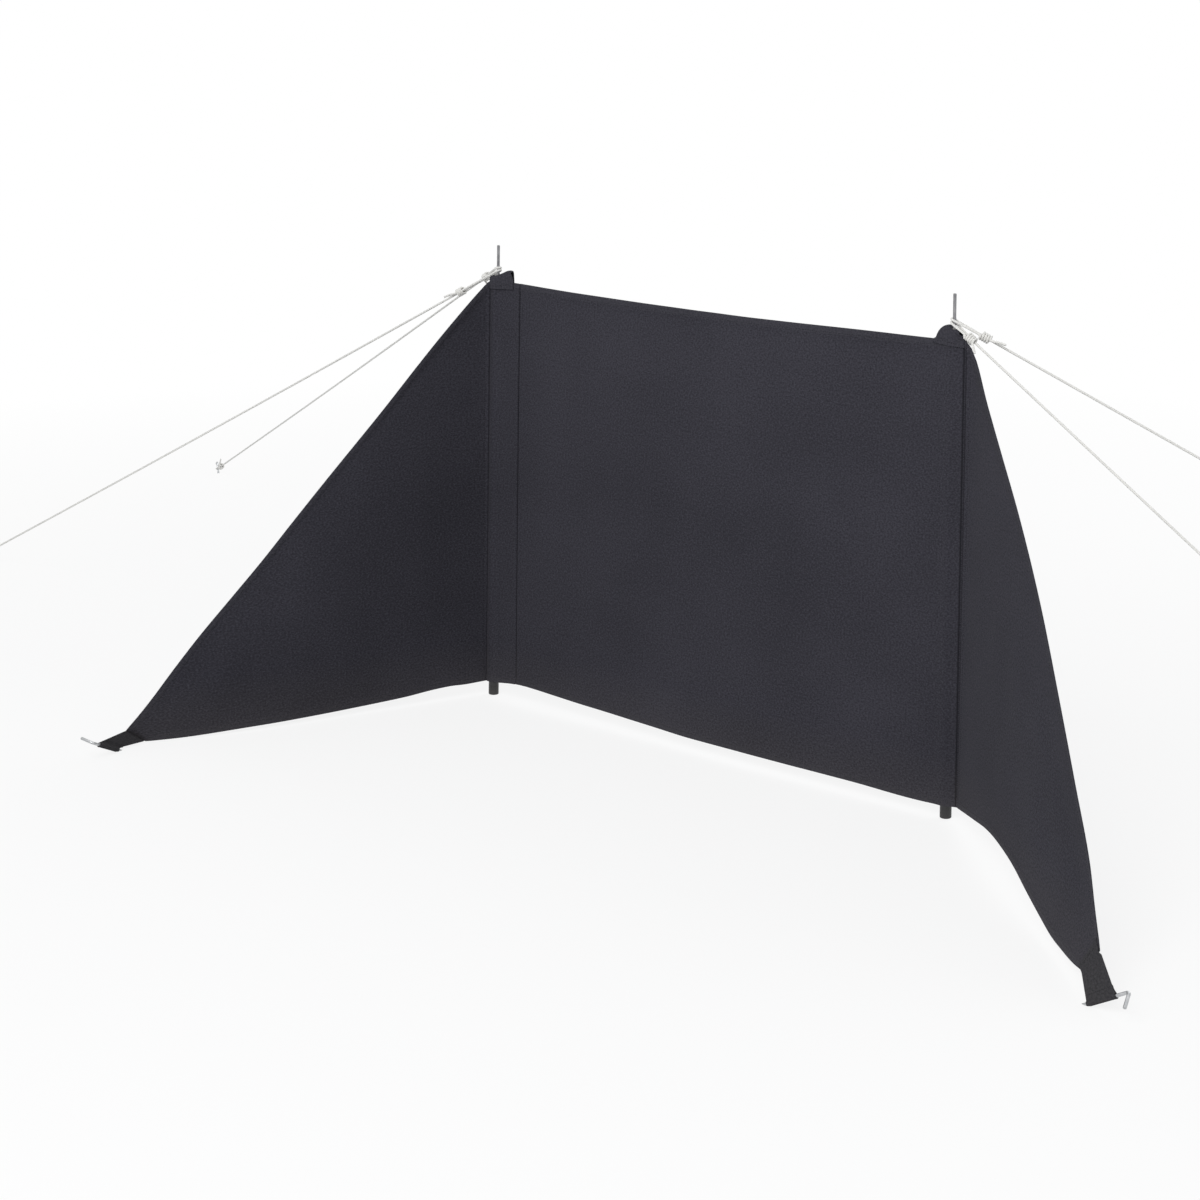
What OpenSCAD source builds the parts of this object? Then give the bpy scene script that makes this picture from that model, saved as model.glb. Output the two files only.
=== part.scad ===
// Campfire windscreen: a cloth panel on two leaning poles, with a triangular cloth
// wing pegged out in front of each pole and two guy ropes holding each pole back.
// The foot of the left pole stands on the origin, +X runs along the panel to the
// right pole, the fire is on the -Y side and the ground is z = 0.

/* [Poles] */
// Distance between the feet of the two poles
pole_gap = 1194; // [900:1:1500]
// Outside diameter of a pole
pole_d = 22; // [18:0.5:26]
// Wall of the steel pole tube
pole_wall = 1.2; // [0.8:0.1:2]
// How far each pole leans in over the panel, in degrees
pole_lean = 1.43; // [0:0.01:3]
// Height of the centre of the round top plug
plug_centre = 902; // [700:1:1200]
// Height of the moulded foot below the tube
foot_h = 22; // [14:0.5:40]
// Radius of the rounded rim under the foot
foot_round = 3; // [1:0.5:4]
// Length of the stems that fill the ends of the tube
stem_len = 30; // [15:1:60]

/* [Spikes] */
// Diameter of the exposed spike
spike_d = 6; // [5:0.1:8]
// Length of the exposed spike
spike_len = 42; // [25:1:80]
// Diameter of the shank that the ropes bear on
shank_d = 6.6; // [6:0.1:9]
// Height of the shank above the centre of the top plug
shank_h = 35; // [30:0.5:50]

/* [Cloth] */
// Thickness of one cloth layer
cloth_t = 3; // [2:0.5:5]
// Gap between the pole and the sleeve around it
sleeve_gap = 0.5; // [0.3:0.1:1.5]
// Height of the lower cloth edge at the left pole
left_hem_z = 30; // [23:1:80]
// Height of the lower cloth edge at the right pole
right_hem_z = 29; // [23:1:80]
// Height of the panel's lower left corner
left_corner_z = 40; // [23:1:80]
// Height of the panel's lower right corner
right_corner_z = 29; // [23:1:80]
// How far the top cloth edge rises above the centre of the left top plug
left_top_rise = 4; // [-20:0.5:6]
// The same at the right top plug
right_top_rise = -4; // [-20:0.5:6]
// Width of the left sleeve outside and inside its pole axis
left_sleeve_out = 12; // [10:0.5:40]
// Inner width of the left sleeve, to its sewn seam
left_sleeve_in = 76; // [62:1:120]
// Outer width of the right sleeve, to its sewn seam
right_sleeve_out = 33; // [13:0.5:60]
// Inner width of the right sleeve
right_sleeve_in = 44; // [40:1:120]

/* [Wings] */
// Length of a wing along its lower edge
wing_len = 770; // [500:5:1000]
// Angle of the left wing, out from the line of the panel, in degrees
left_wing_turn = 70.5; // [30:0.5:88]
// Angle of the right wing, out from the line of the panel, in degrees
right_wing_turn = 41; // [30:0.5:88]
// Height of the left wing's lower end above the ground
left_tip_lift = 4; // [4:0.5:60]
// Height of the right wing's lower end above the ground
right_tip_lift = 28; // [4:0.5:60]
// Sideways belly of the left wing's top edge
left_top_bow = 11; // [-40:1:60]
// Belly of the left wing's lower edge, towards the fire where negative
left_hem_bow = -23; // [-40:1:60]
// Belly of the right wing's top edge
right_top_bow = 31; // [-40:1:60]
// Belly of the right wing's lower edge
right_hem_bow = 0; // [-40:1:60]

/* [Straps] */
// Width of the strap at a wing's tip
strap_w = 52; // [36:1:80]
// Length of the left strap along its lower edge
left_strap_len = 79; // [40:1:120]
// Length of the right strap along its lower edge
right_strap_len = 74; // [40:1:120]
// Diameter of the rod that every peg is bent from
peg_d = 6; // [4:0.5:8]
// Length of a peg's bent hook
hook_len = 31; // [18:1:50]
// How far the left wing peg stands out of its strap
left_peg_out = 20; // [14:1:60]
// How far the right wing peg stands out of its strap
right_peg_out = 26; // [14:1:60]

/* [Ropes] */
// Diameter of the guy ropes
rope_d = 4; // [3:0.5:5]
// Angle of a back guy behind the line of the panel, in degrees
back_turn = 25.6; // [10:0.1:70]
// Angle of a side guy in front of the line of the panel, in degrees
side_turn = 1.6; // [-8:0.1:8]
// Distance from the left pole out to the peg of its back guy
left_back_reach = 2646; // [1200:1:3200]
// Distance from the right pole out to the peg of its back guy
right_back_reach = 1815; // [1200:1:3200]
// Distance from the left pole out to the peg of its side guy
left_side_reach = 1905; // [1200:1:3200]
// Distance from the right pole out to the peg of its side guy
right_side_reach = 1425; // [1200:1:3200]

/* [Hidden] */
$fn = 48;
LEFT = 0;
RIGHT = 1;

cloth_colour = [0.16, 0.16, 0.185];
rope_colour = [0.86, 0.85, 0.81];
steel_colour = [0.62, 0.62, 0.64];
black_colour = [0.08, 0.08, 0.09];

// Seats and clearances
touch = 0.3;                       // air between a soft piece and what it lies on
fit = 0.2;                         // air around a rod in its loop
layer = cloth_t;
pole_r = pole_d / 2;
peg_r = peg_d / 2;
rope_r = rope_d / 2;
loop_in_r = peg_r + fit;                   // sewn loop at the end of a strap
loop_out_r = loop_in_r + layer - 1;
sleeve_in_r = pole_r + sleeve_gap;
sleeve_out_r = sleeve_in_r + layer;
cloth_y = -(sleeve_in_r + layer / 2);      // middle of the flat cloth, in front of the poles
hem_z = [left_hem_z, right_hem_z];
corner_z = [left_corner_z, right_corner_z];
top_z = [plug_centre + left_top_rise, plug_centre + right_top_rise];
far = 6000;

// Caps and eyelets
cap_t = 2;
cap_out = 9;                               // cap beyond the pole axis, on the guy side
cap_in = [46, 36];                         // cap over the panel, left and right
cap_lap = 8;                               // how far a cap is sewn down over the sleeve
cap_half = sleeve_out_r + fit;
crown_z = plug_centre + pole_r + touch + 1;        // underside of the cap's crown
eyelet_r = 7.5;
eyelet_t = 1;
eyelet_hole = 4.6;
barrel_r = 6;

// Guy ropes: the knot's place along the rope, [left, right]
knot_len = 26;
back_knot_at = [66, 52];
side_knot_at = [109, 32];
loop_rise = 9;                             // the side guy's loop above the top of the cap
loop_air = 2.2;                            // room between the two loops, which are pitched apart
loop_step = rope_d + loop_air;             // the back guy's loop lies this far above the side one
hitch_r = peg_r + rope_r + fit;            // middle of the rope around a ground peg
hitch_at = 60;                             // from a ground peg to the knot of its hitch
ground_z = 14;                             // height of a rope on its ground peg
buried = 30;                               // a peg is drawn from this far down its shaft

wing_turn = [left_wing_turn, right_wing_turn];
sleeve_out = [left_sleeve_out, right_sleeve_out];
sleeve_in = [left_sleeve_in, right_sleeve_in];
tip_lift = [left_tip_lift, right_tip_lift];
top_bow = [left_top_bow, right_top_bow];
hem_bow = [left_hem_bow, right_hem_bow];
strap_len = [left_strap_len, right_strap_len];
peg_out = [left_peg_out, right_peg_out];
end_turn = [80, 2.3];                      // plan angle of a wing's short end edge
end_rise = [35, 53];                       // slope of that edge, in degrees
strap_turn = [94.3, 47];                   // plan angle of a strap's lower edge
peg_turn = [100.2, 2.3];                   // plan angle of a wing peg
peg_rise = [25.7, 30];                     // slope of a wing peg
hook_spin = [98, -54.7];                   // turn of its hook about its own shaft
guy_spin = 8;                              // the same turn of a guy rope's peg
top_skew = [0.33, 0.9];                    // under 1 the belly of the top edge is near the pole
top_sag = [0, 12];                         // how far the top edge hangs at its middle
hem_skew = [1.8, 1];                       // over 1 the belly of the lower edge is near the tip
hem_lift = [6, 42];                        // how far the lower edge lifts near the pole
lift_share = [0.22, 0.68];                 // share of the lower edge that lifts
back_reach = [left_back_reach, right_back_reach];
side_reach = [left_side_reach, right_side_reach];

// ---- points and directions, in a frame at one pole's foot: +X outwards, -Y to the fire
function unit(v) = v / norm(v);
function lerp(a, b, t) = a + (b - a) * t;
function heading(turn, rise = 0) = [cos(rise) * cos(turn), cos(rise) * sin(turn), sin(rise)];
function pole_x(z) = -z * tan(pole_lean);

function wing_start(s, z) = [pole_x(z) + sleeve_out[s] + touch, cloth_y, z];
function wing_low(s) =
  [sleeve_out[s], cloth_y, 0] + wing_len * heading(-wing_turn[s]) + [0, 0, tip_lift[s]];
function wing_high(s) = wing_low(s) + strap_w * heading(-end_turn[s], end_rise[s]);
function wing_side(s) = heading(90 - wing_turn[s]);        // points away from the fire
function loop_low(s) =
  let (p = wing_low(s) + strap_len[s] * heading(-strap_turn[s])) [p[0], p[1], loop_out_r];
function peg_way(s) = heading(-peg_turn[s], peg_rise[s]);

// Lower and upper edge of a wing at the share u of its length
function hem_point(s, u) = lerp(wing_start(s, hem_z[s]), wing_low(s), u)
  + wing_side(s) * hem_bow[s] * sin(180 * pow(u, hem_skew[s]))
  + [0, 0, hem_lift[s] * pow(sin(180 * min(1, u / lift_share[s])), 2)];
function edge_point(s, u) = lerp(wing_start(s, top_z[s]), wing_high(s), u)
  + wing_side(s) * top_bow[s] * sin(180 * pow(u, top_skew[s]))
  - [0, 0, top_sag[s] * sin(180 * u)];

// ---- small solids
module at_foot(s) {
  if (s == LEFT) mirror([1, 0, 0]) children();
  else translate([pole_gap, 0, 0]) children();
}
module on_pole(s) {
  at_foot(s) rotate([0, -pole_lean, 0]) children();
}
module along(a, b) {
  v = b - a;
  translate(a) rotate([0, acos(v[2] / norm(v)), atan2(v[1], v[0])]) children();
}
module rod(a, b, d) {
  along(a, b) cylinder(h = norm(b - a), d = d);
}
module ground_cut() {
  translate([-far, -far, -far]) cube([2 * far, 2 * far, far]);
}

// A closed sheet: rows of points with a thickness, one row per step along the cloth
module sheet(rows, sides) {
  n = len(rows);
  m = len(rows[0]);
  points = [
    for (k = [-1, 1]) for (i = [0 : n - 1]) for (j = [0 : m - 1])
      rows[i][j] + sides[i] * k * layer / 2
  ];
  back = n * m;
  faces = concat(
    [for (i = [0 : n - 2]) for (j = [0 : m - 2]) each [
      [i * m + j, i * m + j + 1, (i + 1) * m + j + 1],
      [i * m + j, (i + 1) * m + j + 1, (i + 1) * m + j]]],
    [for (i = [0 : n - 2]) for (j = [0 : m - 2]) each [
      [back + i * m + j, back + (i + 1) * m + j + 1, back + i * m + j + 1],
      [back + i * m + j, back + (i + 1) * m + j, back + (i + 1) * m + j + 1]]],
    [for (i = [0 : n - 2]) each [
      [i * m, (i + 1) * m, back + (i + 1) * m],
      [i * m, back + (i + 1) * m, back + i * m]]],
    [for (i = [0 : n - 2]) each [
      [i * m + m - 1, back + (i + 1) * m + m - 1, (i + 1) * m + m - 1],
      [i * m + m - 1, back + i * m + m - 1, back + (i + 1) * m + m - 1]]],
    [for (j = [0 : m - 2]) each [
      [j, back + j + 1, j + 1],
      [j, back + j, back + j + 1]]],
    [for (j = [0 : m - 2]) each [
      [(n - 1) * m + j, (n - 1) * m + j + 1, back + (n - 1) * m + j + 1],
      [(n - 1) * m + j, back + (n - 1) * m + j + 1, back + (n - 1) * m + j]]]
  );
  polyhedron(points, faces, convexity = 6);
}

// ---- cloth
// A seam runs beside the pole; these give its place at a height, and that height along the pole
function seam_x(s, z) = z * tan(pole_lean) + (sleeve_in[s] + touch) / cos(pole_lean);
function along_pole(s, z) = (z + sleeve_in[s] * sin(pole_lean)) / cos(pole_lean);
module centre_panel() {
  color(cloth_colour)
    translate([0, cloth_y + layer / 2, 0]) rotate([90, 0, 0])
      linear_extrude(layer)
        polygon([
          [seam_x(LEFT, corner_z[LEFT]), corner_z[LEFT]],
          [pole_gap - seam_x(RIGHT, corner_z[RIGHT]), corner_z[RIGHT]],
          [pole_gap - seam_x(RIGHT, top_z[RIGHT]), top_z[RIGHT]],
          [seam_x(LEFT, top_z[LEFT]), top_z[LEFT]]]);
}

module sleeve(s) {
  length = top_z[s] - hem_z[s];
  color(cloth_colour) on_pole(s) difference() {
    union() {
      translate([0, 0, hem_z[s]]) cylinder(h = length, r = sleeve_out_r);
      translate([0, cloth_y + layer / 2, 0]) rotate([90, 0, 0]) linear_extrude(layer)
        polygon([
          [sleeve_out[s], hem_z[s]], [sleeve_out[s], top_z[s]], [0, top_z[s]],
          [-sleeve_in[s], along_pole(s, top_z[s])],
          [-sleeve_in[s], along_pole(s, corner_z[s])], [0, hem_z[s]]]);
    }
    translate([0, 0, hem_z[s] - 1]) cylinder(h = length + 2, r = sleeve_in_r);
  }
}

module wing(s) {
  steps = 24;
  rises = 8;
  color(cloth_colour) at_foot(s) sheet(
    [for (i = [0 : steps]) let (u = i / steps)
      [for (j = [0 : rises]) lerp(hem_point(s, u), edge_point(s, u), j / rises)]],
    [for (i = [0 : steps]) i == 0 ? [0, 1, 0] : wing_side(s)]);
}

// A strap runs from the end edge of its wing to the loop sewn along its other end
module strap(s) {
  steps = 8;
  axis = peg_way(s);
  way = unit(loop_low(s) - wing_low(s));
  across = unit(way - axis * (way * axis));
  start = way * (touch + 0.5);
  end = loop_low(s) - across * (loop_out_r + touch);
  side = cross(across, axis);
  color(cloth_colour) at_foot(s) sheet(
    [for (i = [0 : steps])
      [lerp(wing_low(s) + start, end, i / steps),
       lerp(wing_high(s) + start, end + strap_w * axis, i / steps)]],
    [for (i = [0 : steps])
      unit(lerp(wing_side(s), side * sign(side * wing_side(s)), i / steps))]);
}

module strap_loop(s) {
  low = loop_low(s);
  high = low + strap_w * peg_way(s);
  over = 1 / strap_w;
  color(cloth_colour) at_foot(s) difference() {
    rod(low, high, 2 * loop_out_r);
    rod(lerp(low, high, -over), lerp(low, high, 1 + over), 2 * loop_in_r);
  }
}

// ---- pegs: a straight shaft, one bend and a hook; the shaft ends where it meets the ground
module bent_peg(turn, rise, spin, foot, shaft) {
  bend = peg_d;
  difference() {
    translate(foot) rotate([0, 90 - rise, turn]) rotate([0, 0, spin]) {
      cylinder(h = shaft, r = peg_r);
      translate([bend, 0, shaft]) rotate([90, 0, 0]) rotate([0, 0, 90])
        rotate_extrude(angle = 90) translate([bend, 0]) circle(r = peg_r);
      translate([bend, 0, shaft + bend]) rotate([0, 90, 0]) cylinder(h = hook_len - bend, r = peg_r);
    }
    ground_cut();
  }
}

module wing_peg(s) {
  foot = loop_low(s) - buried * peg_way(s);
  color(steel_colour) at_foot(s)
    bent_peg(-peg_turn[s], peg_rise[s], hook_spin[s], foot, buried + strap_w + peg_out[s] - peg_d);
}

// ---- caps over the pole tops
function arch(a, b, mid, low, steps = 16) = concat(
  [[a, low]], [for (i = [0 : steps]) let (t = 180 * i / steps) [a * cos(t), mid + b * sin(t)]],
  [[-a, low]]);
module cap(s) {
  width = cap_out + cap_in[s];
  low = top_z[s] - cap_lap;
  rise = crown_z - top_z[s];
  color(cloth_colour) on_pole(s) difference() {
    translate([-cap_in[s], 0, 0]) rotate([90, 0, 90]) linear_extrude(width)
      polygon(arch(cap_half + cap_t, rise + cap_t, top_z[s], low));
    translate([-cap_in[s] - 1, 0, 0]) rotate([90, 0, 90]) linear_extrude(width + 2)
      polygon(arch(cap_half, rise, top_z[s], low - 1));
    translate([0, 0, crown_z - 5]) cylinder(h = cap_t + 10, r = barrel_r + fit);
  }
}
module eyelet(s) {
  top = crown_z + cap_t + 0.1;
  color(steel_colour) on_pole(s) difference() {
    union() {
      translate([0, 0, top]) cylinder(h = eyelet_t, r = eyelet_r);
      translate([0, 0, crown_z]) cylinder(h = cap_t + eyelet_t, r = barrel_r);
    }
    translate([0, 0, crown_z - 1]) cylinder(h = cap_t + eyelet_t + 3, r = eyelet_hole);
  }
}

// ---- poles
module pole(s) {
  color(black_colour) on_pole(s) translate([0, 0, foot_h]) difference() {
    cylinder(h = plug_centre - foot_h, r = pole_r);
    translate([0, 0, -1]) cylinder(h = plug_centre - foot_h + 2, r = pole_r - pole_wall);
  }
}
module foot(s) {
  below = 1;                               // cut off again, level with the ground
  color(black_colour) difference() {
    on_pole(s) union() {
      translate([0, 0, -below]) rotate_extrude() polygon(concat(
        [[0, 0]],
        [for (i = [0 : 6]) let (t = -90 + 15 * i)
          [pole_r - foot_round + foot_round * cos(t), foot_round + foot_round * sin(t)]],
        [[pole_r, foot_h + below], [0, foot_h + below]]));
      cylinder(h = foot_h + stem_len, r = pole_r - pole_wall - fit / 2);
    }
    ground_cut();
  }
}
module spike(s) {
  chamfer = 0.6;
  shank_top = plug_centre + shank_h;
  color(steel_colour) on_pole(s) union() {
    translate([0, 0, plug_centre]) difference() {
      sphere(r = pole_r);
      translate([-pole_d, -pole_d, -2 * pole_d]) cube([2 * pole_d, 2 * pole_d, 2 * pole_d]);
    }
    translate([0, 0, plug_centre - stem_len]) cylinder(h = stem_len + 1, r = pole_r - pole_wall - fit / 2);
    translate([0, 0, plug_centre]) cylinder(h = shank_h, d = shank_d);
    translate([0, 0, shank_top]) cylinder(h = spike_len, d = spike_d);
    translate([0, 0, shank_top + spike_len])
      cylinder(h = chamfer, d1 = spike_d, d2 = spike_d - 2 * chamfer);
  }
}

// ---- guy ropes: each is a loop on the spike, a knot, the rope, and a hitch on a ground peg
function reach_of(s, back) = back ? back_reach[s] : side_reach[s];
function turn_of(back) = back ? back_turn : -side_turn;
function slope_of(s, back) = atan((loop_z(back) - ground_z) / reach_of(s, back));
function loop_z(back) = crown_z + cap_t + loop_rise + (back ? loop_step : 0);
function guy_top(back) = [pole_x(loop_z(back)), 0, loop_z(back)];
function guy_way(s, back) = heading(turn_of(back), -slope_of(s, back));
function guy_len(s, back) = norm([reach_of(s, back), 0, loop_z(back) - ground_z]);
function guy_point(s, back, d) = guy_top(back) + d * guy_way(s, back);
function knot_at(s, back) = back ? back_knot_at[s] : side_knot_at[s];
function loop_r(s, back) = (shank_d / 2 + rope_r + touch) / cos(slope_of(s, back));

// An eye of rope: half a ring around the rod and two legs that run to the knot, along +X
module eye(ring, leg) {
  rotate([0, 0, 90]) rotate_extrude(angle = 180) translate([ring, 0]) circle(r = rope_r);
  for (y = [-ring, ring]) translate([0, y, 0]) rotate([0, 90, 0]) cylinder(h = leg, r = rope_r);
}
module top_loop(s, back) {
  color(rope_colour) at_foot(s) translate(guy_top(back)) rotate([0, slope_of(s, back), turn_of(back)])
    eye(loop_r(s, back), knot_at(s, back));
}
module knot(s, back) {
  a = guy_point(s, back, knot_at(s, back));
  b = guy_point(s, back, knot_at(s, back) + knot_len);
  color(rope_colour) at_foot(s) rod(a, b, 2 * (loop_r(s, back) + rope_r));
}
module rope(s, back) {
  a = guy_point(s, back, knot_at(s, back) + knot_len);
  b = guy_point(s, back, guy_len(s, back) - hitch_at);
  color(rope_colour) at_foot(s) rod(a, b, rope_d);
}
module hitch(s, back) {
  a = guy_point(s, back, guy_len(s, back) - hitch_at);
  b = guy_point(s, back, guy_len(s, back) - hitch_at + knot_len);
  color(rope_colour) at_foot(s) {
    rod(a, b, 2 * (hitch_r + rope_r + touch));
    translate(guy_point(s, back, guy_len(s, back))) rotate([0, slope_of(s, back), turn_of(back)])
      mirror([1, 0, 0]) eye(hitch_r, hitch_at - knot_len + 1);
  }
}
module guy_peg(s, back) {
  rise = 90 - slope_of(s, back);
  above = 14;
  foot = guy_point(s, back, guy_len(s, back)) - buried * heading(turn_of(back), rise);
  color(steel_colour) at_foot(s) bent_peg(turn_of(back), rise, guy_spin, foot, buried + above);
}

centre_panel();
sleeve(LEFT);  // left_sleeve
sleeve(RIGHT);  // right_sleeve
wing(LEFT);  // left_wing
wing(RIGHT);  // right_wing
strap(LEFT);  // left_strap
strap(RIGHT);  // right_strap
strap_loop(LEFT);  // left_strap_loop
strap_loop(RIGHT);  // right_strap_loop
wing_peg(LEFT);  // left_wing_peg
wing_peg(RIGHT);  // right_wing_peg
cap(LEFT);  // left_cap
cap(RIGHT);  // right_cap
eyelet(LEFT);  // left_eyelet
eyelet(RIGHT);  // right_eyelet
pole(LEFT);  // left_pole
pole(RIGHT);  // right_pole
foot(LEFT);  // left_foot
foot(RIGHT);  // right_foot
spike(LEFT);  // left_spike
spike(RIGHT);  // right_spike
top_loop(LEFT, true);  // left_back_loop
top_loop(RIGHT, true);  // right_back_loop
top_loop(LEFT, false);  // left_side_loop
top_loop(RIGHT, false);  // right_side_loop
knot(LEFT, true);  // left_back_knot
knot(RIGHT, true);  // right_back_knot
knot(LEFT, false);  // left_side_knot
knot(RIGHT, false);  // right_side_knot
rope(LEFT, true);  // left_back_rope
rope(RIGHT, true);  // right_back_rope
rope(LEFT, false);  // left_side_rope
rope(RIGHT, false);  // right_side_rope
hitch(LEFT, true);  // left_back_hitch
hitch(RIGHT, true);  // right_back_hitch
hitch(LEFT, false);  // left_side_hitch
hitch(RIGHT, false);  // right_side_hitch
guy_peg(LEFT, true);  // left_back_peg
guy_peg(RIGHT, true);  // right_back_peg
guy_peg(LEFT, false);  // left_side_peg
guy_peg(RIGHT, false);  // right_side_peg
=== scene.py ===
import math

import bpy
from mathutils import Matrix, Vector, noise


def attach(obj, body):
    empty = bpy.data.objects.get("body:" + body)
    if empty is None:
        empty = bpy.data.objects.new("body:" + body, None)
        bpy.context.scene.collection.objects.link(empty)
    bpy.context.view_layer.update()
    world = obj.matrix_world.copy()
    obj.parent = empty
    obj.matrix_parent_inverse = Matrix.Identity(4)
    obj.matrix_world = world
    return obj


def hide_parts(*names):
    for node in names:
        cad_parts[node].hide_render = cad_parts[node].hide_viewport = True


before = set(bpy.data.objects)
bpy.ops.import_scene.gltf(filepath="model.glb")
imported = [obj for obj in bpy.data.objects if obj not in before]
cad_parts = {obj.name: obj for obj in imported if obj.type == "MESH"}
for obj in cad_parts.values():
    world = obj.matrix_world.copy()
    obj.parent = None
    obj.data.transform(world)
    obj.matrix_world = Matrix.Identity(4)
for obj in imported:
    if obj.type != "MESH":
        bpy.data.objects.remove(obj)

# ---------------------------------------------------------------- view, ground and light
# The screen stands on a plain pale floor under soft, even studio light. The eye is that of
# a person standing nearly five metres from the middle of the panel, before its right wing.
scene = bpy.context.scene
scene.view_settings.view_transform = "Standard"
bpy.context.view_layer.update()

eye = (3.671, -3.668, 1.532)
eye_turn, eye_tilt, eye_roll = (math.radians(angle) for angle in (42.459, 75.719, 0.2018))
lens = bpy.data.cameras.new("camera")
lens.lens = 74.0
lens.sensor_width = 36.0
lens.clip_end = 100.0
camera = bpy.data.objects.new("camera", lens)
scene.collection.objects.link(camera)
camera.matrix_world = (
    Matrix.Translation(eye)
    @ Matrix.Rotation(eye_turn, 4, "Z")
    @ Matrix.Rotation(eye_tilt, 4, "X")
    @ Matrix.Rotation(eye_roll, 4, "Z")
)
scene.camera = camera


def new_material(name):
    material = bpy.data.materials.new(name)
    material.use_nodes = True
    return material, material.node_tree, material.node_tree.nodes["Principled BSDF"]


def node(tree, kind, inputs=(), **settings):
    """A new shader node; its inputs take plain values or the outputs of other nodes."""
    made = tree.nodes.new(kind)
    for key, value in settings.items():
        setattr(made, key, value)
    for key, value in dict(inputs).items():
        if isinstance(value, bpy.types.NodeSocket):
            tree.links.new(value, made.inputs[key])
        else:
            made.inputs[key].default_value = value
    return made


def math_node(tree, operation, a, b=0.0):
    return node(tree, "ShaderNodeMath", {0: a, 1: b}, operation=operation).outputs[0]


def mix_colour(tree, factor, a, b):
    return node(tree, "ShaderNodeMix", {0: factor, 6: a, 7: b}, data_type="RGBA").outputs[2]


def remap(tree, value, old, new):
    """The value, with the span old laid on the span new."""
    spans = {0: value, 1: old[0], 2: old[1], 3: new[0], 4: new[1]}
    return node(tree, "ShaderNodeMapRange", spans).outputs[0]


def seen_by(tree, *kinds):
    """1 for rays of these kinds, and 0 for those that only carry light to the screen."""
    rays = node(tree, "ShaderNodeLightPath").outputs
    seen = rays[kinds[0]]
    for kind in kinds[1:]:
        seen = math_node(tree, "MAXIMUM", seen, rays[kind])
    return seen


floor_paint, tree, shader = new_material("studio_floor")
shader.inputs["Base Color"].default_value = (0.88, 0.88, 0.88, 1)
shader.inputs["Roughness"].default_value = 0.9
seen = seen_by(tree, "Is Camera Ray", "Is Glossy Ray")
spot = node(tree, "ShaderNodeTexCoord").outputs["Object"]
away = node(tree, "ShaderNodeVectorMath", {0: spot}, operation="LENGTH").outputs["Value"]
glare = remap(tree, away, (1.6, 4.8), (0.82, 1.0))
share = math_node(tree, "MULTIPLY", seen, glare)
glow = node(tree, "ShaderNodeEmission", {"Color": (1, 1, 1, 1), "Strength": 1.0})
both = node(tree, "ShaderNodeMixShader", {0: share, 1: shader.outputs[0], 2: glow.outputs[0]})
tree.links.new(both.outputs[0], tree.nodes["Material Output"].inputs["Surface"])
bpy.ops.object.select_all(action="DESELECT")
bpy.ops.mesh.primitive_plane_add(size=80, location=(0.6, 0, -0.0005))
floor = bpy.context.object
floor.name = "studio_floor"
floor.data.materials.append(floor_paint)

world = bpy.data.worlds.new("studio")
scene.world = world
world.use_nodes = True
tree = world.node_tree
sky = tree.nodes["Background"]
sky.inputs["Color"].default_value = (0.96, 0.98, 1.0, 1)
sky.inputs["Strength"].default_value = 0.42
seen = seen_by(tree, "Is Camera Ray", "Is Glossy Ray", "Is Transmission Ray")
white = node(tree, "ShaderNodeBackground", {"Color": (1, 1, 1, 1), "Strength": 1.0})
both = node(tree, "ShaderNodeMixShader", {0: seen, 1: sky.outputs[0], 2: white.outputs[0]})
tree.links.new(both.outputs[0], tree.nodes["World Output"].inputs["Surface"])

lamp_aim = Vector((0.6, -0.2, 0.4))
for name, place, size, watts in (
    ("key_light", (1.7, -5.0, 4.5), 4.0, 225),
    ("fill_light", (4.6, -3.0, 3.4), 3.5, 12),
    ("back_light", (0.8, 3.8, 3.6), 3.5, 75),
):
    lamp = bpy.data.lights.new(name, "AREA")
    lamp.size = size
    lamp.energy = watts
    light = bpy.data.objects.new(name, lamp)
    scene.collection.objects.link(light)
    light.location = place
    light.rotation_euler = (lamp_aim - light.location).to_track_quat("-Z", "Y").to_euler()


# ---------------------------------------------------------------- feet
# Each pole ends in a moulded black plug with a rounded rim, pushed into the tube. It is the
# only part of the pole that shows, below the cloth, and it is scuffed where it meets the soil.
def noise_of(tree, where, scale, detail):
    mottled = {"Vector": where, "Scale": scale, "Detail": detail}
    return node(tree, "ShaderNodeTexNoise", mottled).outputs[0]


def bump_of(tree, height, strength, distance, **under):
    """A bump of this distance in metres, over another one if Normal= names it."""
    raised = {"Height": height, "Strength": strength, "Distance": distance, **under}
    return node(tree, "ShaderNodeBump", raised).outputs[0]


def moulded(name, colour, scuff, rough):
    """Black plastic or paint, scuffed paler in smears, most of all in its lowest 20 mm."""
    material, tree, shader = new_material(name)
    where = node(tree, "ShaderNodeTexCoord").outputs["Object"]
    grain = noise_of(tree, where, 900.0, 3.0)
    smear = noise_of(tree, where, 60.0, 4.0)
    height = node(tree, "ShaderNodeSeparateXYZ", {0: where}).outputs[2]
    low = remap(tree, height, (0.0, 0.02), (0.7, 0.12))
    worn = math_node(tree, "MULTIPLY", low, smear)
    tree.links.new(mix_colour(tree, worn, colour, scuff), shader.inputs["Base Color"])
    dull = remap(tree, smear, (0.0, 1.0), (rough - 0.12, rough + 0.15))
    tree.links.new(dull, shader.inputs["Roughness"])
    tree.links.new(bump_of(tree, grain, 0.2, 0.0003), shader.inputs["Normal"])
    return material


def finish_node(name, material):
    data = bpy.data.objects[name].data
    data.materials.clear()
    data.materials.append(material)


foot_plastic = moulded("moulded_foot", (0.011, 0.011, 0.012, 1), (0.06, 0.055, 0.05, 1), 0.5)
for name in ("left_foot", "right_foot"):
    finish_node(name, foot_plastic)


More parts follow.
